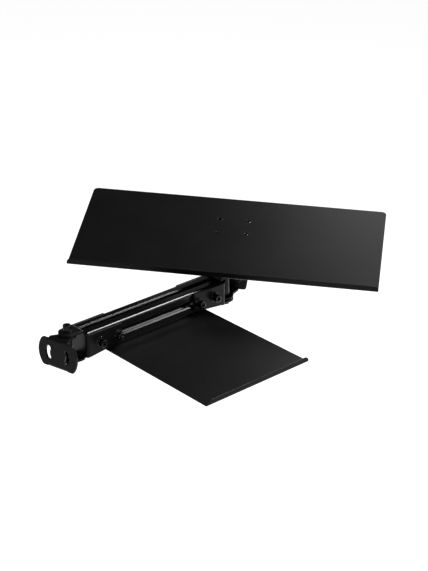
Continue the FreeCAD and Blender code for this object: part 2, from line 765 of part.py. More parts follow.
def clamp_hardware():
    """Screws, washers and nuts through the curved slots, turning with the tray."""
    screws = []
    washers = []
    nuts = []
    inside = -PLATE_T - FIT
    for side in (-1, 1):
        head = ROLL_FRAME.multiply(shift(inside, side * SLOT_R, 0)).multiply(turn(Vector(0, 1, 0), -90))
        screws.append(placed(socket_screw(CLAMP_SCREW_L, WASHER_T), head))
        back = ROLL_FRAME.multiply(shift(MOUNT_T, side * SLOT_R, 0)).multiply(turn(Vector(0, 1, 0), 90))
        washers.append(placed(flat_washer(), head))
        washers.append(placed(flat_washer(), back))
        nuts.append(placed(hex_nut(WASHER_T), back))
    return group(screws), group(washers), group(nuts)


def build():
    nodes = {}
    flip = turn(Z_AXIS, 180)
    rig_bracket = u_bracket(RIG_REACH, rig_plate(RIG_REACH), CLEAR_R)
    nodes["rig_bracket"] = placed(rig_bracket, RIG_FRAME.multiply(flip))
    outer = U_HEIGHT / 2
    head_z = ARM_Z + outer + FIT + HEAD_STACK
    sleeve_low = ARM_Z - EAR_INNER + FIT
    screw, washers, sleeve = pivot_stack(RIG_FRAME, head_z, ARM_Z + outer, EAR_INNER, sleeve_low)
    nodes["rig_pivot_screw"] = screw
    nodes["rig_pivot_washers"] = washers
    nodes["rig_pivot_sleeve"] = sleeve
    nodes["rig_pivot_nut"] = pivot_nut(RIG_FRAME, -outer)
    nodes["rig_thrust_washers"] = thrust_washers(RIG_FRAME, -outer + PLATE_T, outer)

    near, far = end_frames()
    nodes["arm_bracket_rig_end"] = placed(arm_bracket(RUN_R), near)
    nodes["arm_bracket_tray_end"] = placed(arm_bracket(CLEAR_R), far)
    nodes["arm_profile"] = placed(arm_profile(), ARM_FRAME)
    for name, frame in (("rig_end", near), ("tray_end", far)):
        screws, flats, springs, nuts = side_hardware(frame)
        nodes["side_screws_" + name] = screws
        nodes["side_washers_" + name] = flats
        nodes["spring_washers_" + name] = springs
        nodes["slot_nuts_" + name] = nuts

    head_z = TRAY_Z + outer + FIT + HEAD_STACK
    sleeve_low = TRAY_Z - EAR_INNER + FIT
    screw, washers, sleeve = pivot_stack(FAR_FRAME, head_z, TRAY_Z + outer, ARM_Z + EAR_INNER, sleeve_low)
    nodes["tray_pivot_screw"] = screw
    nodes["tray_pivot_washers"] = washers
    nodes["tray_pivot_sleeve"] = sleeve
    nodes["tray_pivot_nut"] = pivot_nut(FAR_FRAME, ARM_Z - outer)
    nodes["tray_thrust_washers"] = thrust_washers(FAR_FRAME, ARM_Z - outer + PLATE_T, ARM_Z + outer)

    tray_bracket = u_bracket(TRAY_REACH, tray_plate(TRAY_REACH), RUN_R)
    nodes["tray_bracket"] = placed(tray_bracket, TRAY_BRACKET_FRAME.multiply(shift(0, 0, TRAY_Z)))
    screws, washers, nuts = clamp_hardware()
    nodes["tilt_clamp_screws"] = screws
    nodes["tilt_clamp_washers"] = washers
    nodes["tilt_clamp_nuts"] = nuts
    nodes["tray_mount"] = placed(tray_mount(), ROLL_FRAME)
    nodes["keyboard_tray"] = placed(keyboard_tray(), TRAY_FRAME)
    nodes["tray_screws"] = placed(tray_screws(), TRAY_FRAME)
    nodes["tray_screw_washers"] = placed(tray_washers(), TRAY_FRAME)
    nodes["tray_screw_nuts"] = placed(tray_nuts(), TRAY_FRAME)

    nodes["mouse_tray"] = placed(mouse_tray(), ARM_FRAME)
    screws = []
    washers = []
    nuts = []
    for x in mouse_screw_places():
        under = ARM_FRAME.multiply(floor_frame(x))
        screws.append(placed(button_screw(FLOOR_SCREW_L, WASHER_T), under))
        washers.append(placed(flat_washer(), under))
        nuts.append(placed(slot_nut(), under.multiply(shift(0, 0, -TRAY_T))))
    nodes["mouse_tray_screws"] = group(screws)
    nodes["mouse_tray_washers"] = group(washers)
    nodes["mouse_tray_slot_nuts"] = group(nuts)
    return nodes


os.makedirs("parts", exist_ok=True)
for node_name, node_shape in build().items():
    valid = node_shape.isValid()
    volume = node_shape.Volume
    print(f"{node_name:26s} solids {len(node_shape.Solids):2d} volume {volume:11.1f} valid {valid}")
    node_shape.exportStep("parts/" + node_name + ".step")
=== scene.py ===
import math
import bpy
import bmesh
from mathutils import Matrix, Vector


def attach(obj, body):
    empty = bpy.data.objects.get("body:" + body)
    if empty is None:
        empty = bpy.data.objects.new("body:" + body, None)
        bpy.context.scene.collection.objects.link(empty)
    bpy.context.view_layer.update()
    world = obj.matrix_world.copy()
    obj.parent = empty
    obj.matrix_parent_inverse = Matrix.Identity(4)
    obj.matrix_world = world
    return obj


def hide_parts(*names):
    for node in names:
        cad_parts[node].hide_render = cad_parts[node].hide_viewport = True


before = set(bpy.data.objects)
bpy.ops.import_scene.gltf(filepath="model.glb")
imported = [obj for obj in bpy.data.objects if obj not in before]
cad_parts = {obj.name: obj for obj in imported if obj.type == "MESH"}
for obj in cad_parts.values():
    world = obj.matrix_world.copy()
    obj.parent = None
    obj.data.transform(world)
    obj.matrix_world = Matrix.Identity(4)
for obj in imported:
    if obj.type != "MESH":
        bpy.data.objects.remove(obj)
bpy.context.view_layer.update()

# Keyboard tray and mouse tray on a jointed arm. Metres, in the part's own frame:
# origin in the middle of the rig plate's mounting face, +X away from the rig, +Z up.
# The named sizes of the object are in millimetres and degrees, as in the part.

MM = 0.001

# Places of the pivots, brackets and trays
RIG_REACH = 25.0
ARM_TURN = -13.0
TRAY_TURN = 40.0
TRAY_ROLL = 1.8
TRAY_TILT = 13.0
PIVOT_GAP = 330.0
TRAY_REACH = 33.0
STACK = 5.0
PLATE_T = 4.0
EAR_TOP = 26.0
WEB_OFFSET = 20.0
CHEEK_OUT = 24.0
CHEEK_LENGTH = 70.0
SIDE_BOLT_FIRST = 26.0
SIDE_BOLT_LAST = 10.0
PROFILE_TOP = 27.0
PROFILE_W = 40.0
TRAY_SET_BACK = 10.0
TRAY_RISE = 65.0
MOUNT_T = 4.0
TRAY_T = 2.0
SLOT_R = 19.5
MOUSE_START = 40.0
MOUSE_W = 210.0
MOUSE_SCREW_PITCH = 120.0
FIT = 0.05

# Screws, nuts and washers of size M8
SCREW_D = 8.0
HEAD_D = 13.0
HEAD_H = 8.0
HEX_AF = 6.0
HEX_DEPTH = 4.0
WASHER_D = 17.0
WASHER_T = 1.6
SPRING_D = 13.0
SPRING_T = 2.0
SPRING_GAP = 1.2
NUT_AF = 13.0
NUT_H = 6.5
PIVOT_SCREW_L = 65.0
SIDE_SCREW_L = 16.0
CLAMP_SCREW_L = 20.0
FLOOR_SCREW_L = 12.0
BUTTON_D = 14.0
BUTTON_H = 4.4
BUTTON_HEX_AF = 5.0
BUTTON_HEX_DEPTH = 2.6
HOLE_PLAY = 0.4

# The small tray screws
TRAY_SCREW_D = 5.0
TRAY_SCREW_L = 14.0
TRAY_SCREW_HEAD = 9.2
TRAY_SCREW_X = (22.0, 58.0)
TRAY_SCREW_Y = 25.0
TRAY_HEX_AF = 3.0
TRAY_HEX_DEPTH = 1.8
TRAY_NUT_AF = 8.0
TRAY_NUT_H = 4.0
TRAY_WASHER_D = 10.0
TRAY_WASHER_T = 1.0


# Camera first: a long lens, above and to the left of the arm

CAMERA_PLACE = (-1.5399, -1.3887, 1.1044)
CAMERA_YAW = 35.34
CAMERA_PITCH = 25.56
FOCAL_PX = 1511.0
IMAGE_H = 571.0
SENSOR_H = 36.0
CLIP_START = 0.05
CLIP_END = 60.0


def photo_camera():
    data = bpy.data.cameras.new("photo_camera")
    data.sensor_fit = "VERTICAL"
    data.sensor_height = SENSOR_H
    data.lens = FOCAL_PX / IMAGE_H * SENSOR_H
    data.clip_start = CLIP_START
    data.clip_end = CLIP_END
    camera = bpy.data.objects.new("photo_camera", data)
    bpy.context.scene.collection.objects.link(camera)
    camera.location = CAMERA_PLACE
    camera.rotation_euler = (math.radians(90 - CAMERA_PITCH), 0, math.radians(CAMERA_YAW - 90))
    bpy.context.scene.camera = camera


photo_camera()


# Frames of the joints, the same chain as in the part

def shift(x, y, z):
    return Matrix.Translation(Vector((x, y, z)) * MM)


def turn(axis, degrees):
    return Matrix.Rotation(math.radians(degrees), 4, axis)


RIG_FRAME = shift(RIG_REACH, 0, 0)
ARM_FRAME = RIG_FRAME @ turn("Z", ARM_TURN)
FAR_FRAME = ARM_FRAME @ shift(PIVOT_GAP, 0, 0)
ROLL_FRAME = FAR_FRAME @ turn("Z", TRAY_TURN) @ shift(TRAY_REACH, 0, 2 * STACK) @ turn("X", TRAY_ROLL)
TRAY_FRAME = ROLL_FRAME @ shift(TRAY_SET_BACK, 0, TRAY_RISE) @ turn("Y", -TRAY_TILT)
PROFILE_Z = PROFILE_TOP - PROFILE_W / 2


# Materials

CLAMPED = {"clamp": True}
COLOURS = {"data_type": "RGBA"}
# Sockets of a colour mix by number, because other sockets share their names
MIX_SHARE, MIX_FROM, MIX_TO, MIX_OUT = 0, 6, 7, 2
# The part of a noise's values that its patterns stretch
NOISE_SPAN = {"From Min": 0.35, "From Max": 0.65}
# Where the cosine between the rounded and the plain normal makes the edge mask 0 and 1
SOFT_EDGE = {"From Min": 0.985, "From Max": 0.80}
RIM_EDGE = {"From Min": 0.97, "From Max": 0.75}
BUMP_MM = 0.04
DIE_LINE_STRETCH = 60.0


def linear(hex_colour):
    """sRGB hex to linear RGBA."""
    out = []
    for i in (1, 3, 5):
        c = int(hex_colour[i:i + 2], 16) / 255
        out.append(c / 12.92 if c <= 0.04045 else ((c + 0.055) / 1.055) ** 2.4)
    return (*out, 1.0)


def feature_scale(feature_mm):
    """Scale of a noise whose features are about feature_mm across."""
    return 1 / (feature_mm * MM)


def add_node(tree, kind, settings=None, inputs=None):
    """One node with its settings; an input, by name or number, is a value or a node's output."""
    node = tree.nodes.new(kind)
    for name, value in (settings or {}).items():
        setattr(node, name, value)
    for name, value in (inputs or {}).items():
        if isinstance(value, bpy.types.NodeSocket):
            tree.links.new(value, node.inputs[name])
        else:
            node.inputs[name].default_value = value
    return node


def new_finish(name, plain_values):
    """A material with what is the same all over set on its shader, and Object coordinates."""
    material = bpy.data.materials.new(name)
    material.use_nodes = True
    tree = material.node_tree
    tree.nodes.clear()
    surface = add_node(tree, "ShaderNodeBsdfPrincipled", None, plain_values)
    add_node(tree, "ShaderNodeOutputMaterial", None, {"Surface": surface.outputs["BSDF"]})
    place = add_node(tree, "ShaderNodeTexCoord").outputs["Object"]
    return material, tree, surface, place


def edge_mask(tree, radius_mm, span):
    """1 on outer and inner edges and 0 on flat faces, and the normal that rounds those edges."""
    bevel = add_node(tree, "ShaderNodeBevel", {"samples": 4}, {"Radius": radius_mm * MM})
    rounded = bevel.outputs["Normal"]
    plain = add_node(tree, "ShaderNodeNewGeometry").outputs["Normal"]
    cosine = add_node(tree, "ShaderNodeVectorMath", {"operation": "DOT_PRODUCT"},
                      {0: rounded, 1: plain})
    mask = add_node(tree, "ShaderNodeMapRange", CLAMPED,
                    {"Value": cosine.outputs["Value"], **span, "To Min": 0.0, "To Max": 1.0})
    return mask.outputs["Result"], rounded


def patchy_colour(tree, pattern, dark, pale):
    """A colour that follows a noise pattern from dark to pale."""
    share = add_node(tree, "ShaderNodeMapRange", CLAMPED,
                     {"Value": pattern, **NOISE_SPAN, "To Min": 0.0, "To Max": 1.0})
    colour = add_node(tree, "ShaderNodeMix", COLOURS,
                      {MIX_SHARE: share.outputs["Result"], MIX_FROM: linear(dark), MIX_TO: linear(pale)})
    return colour.outputs[MIX_OUT]


def colour_with_painted_rim_highlight(tree, colour, edges, rim, most):
    """The colour, mixed along the edges with at most this share of the rim's lighter colour: a painted
    highlight.
    """
    share = add_node(tree, "ShaderNodeMapRange", CLAMPED,
                     {"Value": edges, "From Min": 0.0, "From Max": 1.0, "To Min": 0.0, "To Max": most})
    both = add_node(tree, "ShaderNodeMix", COLOURS,
                    {MIX_SHARE: share.outputs["Result"], MIX_FROM: colour, MIX_TO: linear(rim)})
    return both.outputs[MIX_OUT]


def powder_coated_steel():
    # Polyester powder coat, satin black, baked on steel sheet: a deep black with a soft sheen,
    # a faint orange peel, and a slightly lighter colour along the edges that is a painted highlight.
    material, tree, surface, place = new_finish(
        "powder_coated_steel", {"IOR": 1.5, "Specular IOR Level": 0.18, "Metallic": 0.0})
    edges, rounded = edge_mask(tree, 0.8, SOFT_EDGE)
    cloud = add_node(tree, "ShaderNodeTexNoise", None,
                     {"Vector": place, "Scale": feature_scale(55.0), "Detail": 2.0, "Roughness": 0.5})
    film = patchy_colour(tree, cloud.outputs["Fac"], "#0f0f10", "#121213")
    # Painted highlight: the edges are mixed towards a lighter grey.
    tree.links.new(colour_with_painted_rim_highlight(tree, film, edges, "#242425", 0.6), surface.inputs["Base Color"])
    # Real orange peel is about 1 mm across; 2.4 mm shows in the picture.
    peel = add_node(tree, "ShaderNodeTexNoise", None,
                    {"Vector": place, "Scale": feature_scale(2.4), "Detail": 2.0, "Roughness": 0.55})
    satin = add_node(tree, "ShaderNodeMapRange", CLAMPED,
                     {"Value": peel.outputs["Fac"], **NOISE_SPAN, "To Min": 0.31, "To Max": 0.34})
    tree.links.new(satin.outputs["Result"], surface.inputs["Roughness"])
    relief = add_node(tree, "ShaderNodeBump", None, {"Height": peel.outputs["Fac"], "Normal": rounded,
                                                     "Strength": 0.02, "Distance": BUMP_MM * MM})
    tree.links.new(relief.outputs["Normal"], surface.inputs["Normal"])
    return material


def anodised_aluminium():
    # Extruded aluminium, black anodised: a dyed oxide film, satin, with fine die lines
    # along its length and rounded edges that catch the light, with a lighter colour painted on them as a
    # highlight.
    material, tree, surface, place = new_finish(
        "anodised_aluminium", {"IOR": 1.65, "Specular IOR Level": 0.30, "Metallic": 0.0})
    # Die lines run for tens of millimetres and are a fraction of one apart, drawn at 1.5 mm.
    along = add_node(tree, "ShaderNodeMapping", {"vector_type": "TEXTURE"},
                     {"Vector": place, "Rotation": (0, 0, math.radians(ARM_TURN)),
                      "Scale": (DIE_LINE_STRETCH, 1.0, 1.0)})
    lines = add_node(tree, "ShaderNodeTexNoise", None,
                     {"Vector": along.outputs["Vector"], "Scale": feature_scale(1.5), "Detail": 3.0,
                      "Roughness": 0.6})
    edges, rounded = edge_mask(tree, 0.3, SOFT_EDGE)
    film = patchy_colour(tree, lines.outputs["Fac"], "#080809", "#0a0a0b")
    # Painted highlight: the edges are mixed towards a lighter grey.
    tree.links.new(colour_with_painted_rim_highlight(tree, film, edges, "#161618", 0.5), surface.inputs["Base Color"])
    satin = add_node(tree, "ShaderNodeMapRange", CLAMPED,
                     {"Value": lines.outputs["Fac"], **NOISE_SPAN, "To Min": 0.17, "To Max": 0.20})
    tree.links.new(satin.outputs["Result"], surface.inputs["Roughness"])
    relief = add_node(tree, "ShaderNodeBump", None, {"Height": lines.outputs["Fac"], "Normal": rounded,
                                                     "Strength": 0.03, "Distance": BUMP_MM * MM})
    tree.links.new(relief.outputs["Normal"], surface.inputs["Normal"])
    return material


def black_screw_steel():
    # Black oxide on hardened steel, lightly oiled: dark, faintly stained metal; the pale colour
    # on the rims is a painted glint.
    material, tree, surface, place = new_finish("black_screw_steel", {"Metallic": 1.0})
    edges, rounded = edge_mask(tree, 0.35, RIM_EDGE)
    stain = add_node(tree, "ShaderNodeTexNoise", None,
                     {"Vector": place, "Scale": feature_scale(4.0), "Detail": 3.0, "Roughness": 0.5})
    film = patchy_colour(tree, stain.outputs["Fac"], "#2c2c2f", "#3a3a3e")
    # Painted glint: the rims are mixed fully towards a pale metal colour.
    tree.links.new(colour_with_painted_rim_highlight(tree, film, edges, "#d2d3d8", 1.0), surface.inputs["Base Color"])
    oil = add_node(tree, "ShaderNodeTexNoise", None,
                   {"Vector": place, "Scale": feature_scale(1.2), "Detail": 2.0, "Roughness": 0.5})
    gloss = add_node(tree, "ShaderNodeMapRange", CLAMPED,
                     {"Value": oil.outputs["Fac"], **NOISE_SPAN, "To Min": 0.22, "To Max": 0.28})
    tree.links.new(gloss.outputs["Result"], surface.inputs["Roughness"])
    tree.links.new(rounded, surface.inputs["Normal"])
    return material


def zinc_plated_steel():
    # Zinc on pressed steel, clear passivated: pale bluish metal, slightly cloudy.
    material, tree, surface, place = new_finish("zinc_plated_steel", {"Metallic": 1.0})
    cloud = add_node(tree, "ShaderNodeTexNoise", None,
                     {"Vector": place, "Scale": feature_scale(3.0), "Detail": 3.0, "Roughness": 0.5})
    tree.links.new(patchy_colour(tree, cloud.outputs["Fac"], "#a9adb3", "#c6c9ce"),
                   surface.inputs["Base Color"])
    grain = add_node(tree, "ShaderNodeTexNoise", None,
                     {"Vector": place, "Scale": feature_scale(0.9), "Detail": 2.0, "Roughness": 0.5})
    gloss = add_node(tree, "ShaderNodeMapRange", CLAMPED,
                     {"Value": grain.outputs["Fac"], **NOISE_SPAN, "To Min": 0.25, "To Max": 0.40})
    tree.links.new(gloss.outputs["Result"], surface.inputs["Roughness"])
    return material


def black_nylon():
    # Turned nylon, through-coloured black: matt, with a fine grain.
    material, tree, surface, place = new_finish("black_nylon", {"IOR": 1.53})
    grain = add_node(tree, "ShaderNodeTexNoise", None,
                     {"Vector": place, "Scale": feature_scale(0.8), "Detail": 2.0, "Roughness": 0.5})
    tree.links.new(patchy_colour(tree, grain.outputs["Fac"], "#141414", "#1c1c1c"),
                   surface.inputs["Base Color"])
    matt = add_node(tree, "ShaderNodeMapRange", CLAMPED,
                    {"Value": grain.outputs["Fac"], **NOISE_SPAN, "To Min": 0.50, "To Max": 0.62})
    tree.links.new(matt.outputs["Result"], surface.inputs["Roughness"])
    return material


POWDER = powder_coated_steel()
ANODISED = anodised_aluminium()
SCREW_STEEL = black_screw_steel()
ZINC = zinc_plated_steel()
NYLON = black_nylon()

# Every other node is a screw, nut, washer or sleeve of black screw steel
FINISH_OF = {"arm_profile": ANODISED, "slot_nuts_rig_end": ZINC, "slot_nuts_tray_end": ZINC,
             "mouse_tray_slot_nuts": ZINC, "rig_thrust_washers": NYLON, "tray_thrust_washers": NYLON}
for name in ("rig_bracket", "arm_bracket_rig_end", "arm_bracket_tray_end", "tray_bracket", "tray_mount",
             "keyboard_tray", "mouse_tray"):
    FINISH_OF[name] = POWDER
for name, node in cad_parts.items():
    node.data.materials.clear()
    node.data.materials.append(FINISH_OF.get(name, SCREW_STEEL))


# Fasteners: each kind is turned once as a mesh and set on its places by Geometry Nodes

COLUMNS = 72
WASHER_COLUMNS = 64
SPRING_COLUMNS = 60

# Threads, with their depth as a share of the pitch
SCREW_PITCH = 1.25
TRAY_SCREW_PITCH = 0.8
THREAD_DEPTH = 0.54
CREST_CUT = 0.02
TIP_CHAMFER = 0.5
PLAIN_NECK = 0.2
PIVOT_THREAD_L = 22.0
THREAD_RUNOUT = 1.5
TRAY_THREAD_RUNOUT = 3.0

# Outline of a cylinder head: how far each point lies inside the head's radius, with its height
# above the seat and then its depth below the top. The side between the two parts is knurled.
HEAD_FOOT = [(0.6, 0.0), (0.0, 0.5), (0.0, 1.2)]
HEAD_CROWN = [(0.0, 1.4), (0.1, 0.7), (0.35, 0.25), (0.9, 0.0)]
KNURL_DEPTH = 0.22

# Hexagonal sockets: chamfer of the mouth and depth of the drill's cone below the floor
MOUTH_CHAMFER = 0.3
HEX_CONE = 1.2
BUTTON_HEX_CONE = 0.6
TRAY_MOUTH_CHAMFER = 0.2
TRAY_HEX_CONE = 0.4

# Button head: its dome starts on a low rim and ends in a small flat top
BUTTON_STEPS = 9
BUTTON_FOOT = 0.2
BUTTON_RIM_H = 0.25
BUTTON_TOP_CUT = 0.05
BUTTON_FLAT_R = 4.0

# Countersunk head: the height of its rim and the rim's chamfer
SUNK_RIM_H = 0.15
SUNK_CHAMFER = 0.1

# Washers: edges, and the spring washer's rise over its turn
WASHER_EDGE = 0.18
SPRING_EDGE = 0.25
SPRING_PLAY = 0.12
SPRING_RISE = 0.2

# Nuts: the round face inside the flats, the turned-down corners as a share of the height, the play
# of the thread, and how much of a pitch the last crest keeps from the face
NUT_FACE_INSET = 0.15
NUT_CORNER_DROP = 0.10
NUT_THREAD_PLAY = 0.1
NUT_THREAD_END = 0.4

SMOOTH_BELOW = 32
FIRST_SEED = 3
SAME_PLACE = 1e-7
# Sockets of a random number by number, because those of other types share their names
SPIN_LEAST, SPIN_MOST, SPIN_OUT = 2, 3, 1


def new_ring(mesh, radii, heights):
    """Ring of points about Z, evenly spaced, from radii and heights in mm."""
    ring = []
    for i, (r, z) in enumerate(zip(radii, heights)):
        angle = 2 * math.pi * i / len(radii)
        ring.append(mesh.verts.new((r * math.cos(angle) * MM, r * math.sin(angle) * MM, z * MM)))
    return ring


def bridge(mesh, lower, upper):
    """Faces between two rings."""
    for i in range(len(lower)):
        j = (i + 1) % len(lower)
        mesh.faces.new((lower[i], lower[j], upper[j], upper[i]))


def hexagon_radii(flats, columns):
    """Radii of a hexagon's outline at evenly spaced angles."""
    radii = []
    for i in range(columns):
        angle = 2 * math.pi * i / columns
        radii.append(flats / 2 / math.cos((angle + math.pi / 6) % (math.pi / 3) - math.pi / 6))
    return radii


def lathe(profile, columns, wobble=None):
    """Mesh turned about Z from (radius, z) points in mm, closed at both ends."""
    mesh = bmesh.new()
    rings = []
    for k, (radius, z) in enumerate(profile):
        radii = [radius + (wobble(k, i) if wobble else 0.0) for i in range(columns)]
        rings.append(new_ring(mesh, radii, [z] * columns))
    for lower, upper in zip(rings, rings[1:]):
        bridge(mesh, lower, upper)
    mesh.faces.new(rings[0][::-1])
    mesh.faces.new(rings[-1])
    return mesh


def as_object(name, mesh):
    bmesh.ops.recalc_face_normals(mesh, faces=mesh.faces)
    data = bpy.data.meshes.new(name)
    mesh.to_mesh(data)
    mesh.free()
    piece = bpy.data.objects.new(name, data)
    bpy.context.scene.collection.objects.link(piece)
    return piece


def socket_mouth(mesh, top, flats, depth, chamfer, cone):
    """Replace the top cap by a ring, a hexagonal socket and its drilled floor."""
    def at_top(vert):
        return abs(vert.co.z - top * MM) < SAME_PLACE

    caps = [face for face in mesh.faces if len(face.verts) == COLUMNS and all(map(at_top, face.verts))]
    bmesh.ops.delete(mesh, geom=caps, context="FACES_ONLY")
    rim = sorted((v for v in mesh.verts if at_top(v)),
                 key=lambda v: math.atan2(v.co.y, v.co.x) % (2 * math.pi))
    columns = len(rim)
    walls = hexagon_radii(flats, columns)
    previous = rim
    # Chamfered mouth, straight hexagonal walls, then the cone left by the drill
    for offset, z in ((chamfer, top), (0.0, top - chamfer), (0.0, top - depth)):
        ring = new_ring(mesh, [r + offset for r in walls], [z] * columns)
        bridge(mesh, previous, ring)
        previous = ring
    centre = mesh.verts.new((0, 0, (top - depth - cone) * MM))
    for i in range(columns):
        mesh.faces.new((previous[i], previous[(i + 1) % columns], centre))


def threaded_shank(length, diameter, pitch, thread_length):
    """Profile points of a shank from its tip up to z = 0, with thread crests and roots."""
    radius = diameter / 2
    depth = THREAD_DEPTH * pitch
    points = [(radius - depth - TIP_CHAMFER, -length), (radius - depth, -length + TIP_CHAMFER)]
    z = -length + TIP_CHAMFER
    while z + pitch < -length + thread_length:
        points.append((radius - CREST_CUT, z + pitch / 2))
        points.append((radius - depth, z + pitch))
        z += pitch
    points.append((radius, z + 0.5 * pitch))
    points.append((radius, -PLAIN_NECK))
    return points


def socket_head_screw(length, thread_length):
    """Cylinder head with a knurled side, hexagonal socket and threaded shank."""
    profile = threaded_shank(length, SCREW_D, SCREW_PITCH, thread_length)
    profile += [(HEAD_D / 2 - inset, height) for inset, height in HEAD_FOOT]
    last_of_foot = len(profile) - 1
    profile += [(HEAD_D / 2 - inset, HEAD_H - below) for inset, below in HEAD_CROWN]

    def knurl(k, i):
        return -KNURL_DEPTH if k in (last_of_foot, last_of_foot + 1) and i % 2 else 0.0

    mesh = lathe(profile, COLUMNS, knurl)
    socket_mouth(mesh, HEAD_H, HEX_AF, HEX_DEPTH, MOUTH_CHAMFER, HEX_CONE)
    return mesh


def button_head_screw(length):
    profile = threaded_shank(length, SCREW_D, SCREW_PITCH, length)
    profile.append((BUTTON_D / 2 - BUTTON_FOOT, 0.0))
    sphere_r = (BUTTON_D ** 2 / 4 + BUTTON_H ** 2) / (2 * BUTTON_H)
    dome_h = BUTTON_H - (BUTTON_RIM_H + BUTTON_TOP_CUT)
    for k in range(BUTTON_STEPS):
        z = BUTTON_RIM_H + dome_h * k / (BUTTON_STEPS - 1)
        profile.append((math.sqrt(sphere_r ** 2 - (z - BUTTON_H + sphere_r) ** 2), z))
    flat_top = BUTTON_H - BUTTON_TOP_CUT
    profile[-1] = (BUTTON_FLAT_R, flat_top)
    mesh = lathe(profile, COLUMNS)
    socket_mouth(mesh, flat_top, BUTTON_HEX_AF, BUTTON_HEX_DEPTH, MOUTH_CHAMFER, BUTTON_HEX_CONE)
    return mesh


def countersunk_screw():
    """Flat head flush with z = 0."""
    radius = TRAY_SCREW_HEAD / 2
    shank_r = TRAY_SCREW_D / 2
    thread_length = TRAY_SCREW_L - TRAY_THREAD_RUNOUT
    profile = threaded_shank(TRAY_SCREW_L, TRAY_SCREW_D, TRAY_SCREW_PITCH, thread_length)[:-1]
    profile += [(shank_r, shank_r - radius), (radius, -SUNK_RIM_H), (radius - SUNK_CHAMFER, 0.0)]
    mesh = lathe(profile, COLUMNS)
    socket_mouth(mesh, 0.0, TRAY_HEX_AF, TRAY_HEX_DEPTH, TRAY_MOUTH_CHAMFER, TRAY_HEX_CONE)
    return mesh


def turned_ring(section, columns, rise=0.0, gap=0.0):
    """Closed ring from a section (radius, z); with a gap it is a split, rising turn."""
    mesh = bmesh.new()
    stations = []
    count = columns + 1 if gap else columns
    for i in range(count):
        share = i / columns
        angle = gap / 2 + (2 * math.pi - gap) * share if gap else 2 * math.pi * share
        lift = rise * (share - 0.5)
        station = []
        for r, z in section:
            point = (r * math.cos(angle) * MM, r * math.sin(angle) * MM, (z + lift) * MM)
            station.append(mesh.verts.new(point))
        stations.append(station)
    pairs = list(zip(stations, stations[1:]))
    if not gap:
        pairs.append((stations[-1], stations[0]))
    for here, there in pairs:
        for k in range(len(section)):
            m = (k + 1) % len(section)
            mesh.faces.new((here[k], there[k], there[m], here[m]))
    if gap:
        mesh.faces.new(stations[0])
        mesh.faces.new(stations[-1][::-1])
    return mesh


def flat_washer_mesh(outer, bore, thickness):
    """Washer above z = 0 with slightly rolled edges."""
    edge = WASHER_EDGE
    section = [(bore, 0.0), (outer - edge, 0.0), (outer, edge), (outer, thickness - edge),
               (outer - edge, thickness), (bore + edge, thickness), (bore, thickness - edge)]
    return turned_ring(section, WASHER_COLUMNS)


def spring_washer_mesh():
    """Square-section turn with a slit, pressed almost flat."""
    outer = SPRING_D / 2
    bore = SCREW_D / 2 + HOLE_PLAY / 2
    low = SPRING_PLAY
    high = SPRING_T - SPRING_PLAY
    section = [(bore, low), (outer - SPRING_EDGE, low), (outer, low + SPRING_EDGE),
               (outer, high - SPRING_EDGE), (outer - SPRING_EDGE, high), (bore, high)]
    return turned_ring(section, SPRING_COLUMNS, SPRING_RISE, SPRING_GAP / outer)


def hex_nut_mesh(flats, height, bore, pitch):
    """Hexagon nut above z = 0 with turned-down corners and a threaded bore."""
    mesh = bmesh.new()
    corner = flats / math.sqrt(3)
    drop = NUT_CORNER_DROP * height
    face_r = flats / 2 - NUT_FACE_INSET
    walls = hexagon_radii(flats, COLUMNS)
    falls = [drop * (r - flats / 2) / (corner - flats / 2) for r in walls]
    rings = [new_ring(mesh, [face_r] * COLUMNS, [0.0] * COLUMNS),
             new_ring(mesh, walls, falls),
             new_ring(mesh, walls, [height - fall for fall in falls]),
             new_ring(mesh, [face_r] * COLUMNS, [height] * COLUMNS)]
    thread = []
    z = 0.0
    while z < height - NUT_THREAD_END * pitch:
        thread.append((bore, z))
        thread.append((bore - THREAD_DEPTH * pitch, z + pitch / 2))
        z += pitch
    thread.append((bore, height))
    for r, z in reversed(thread):
        rings.append(new_ring(mesh, [r] * COLUMNS, [z] * COLUMNS))
    for lower, upper in zip(rings, rings[1:] + rings[:1]):
        bridge(mesh, lower, upper)
    return mesh


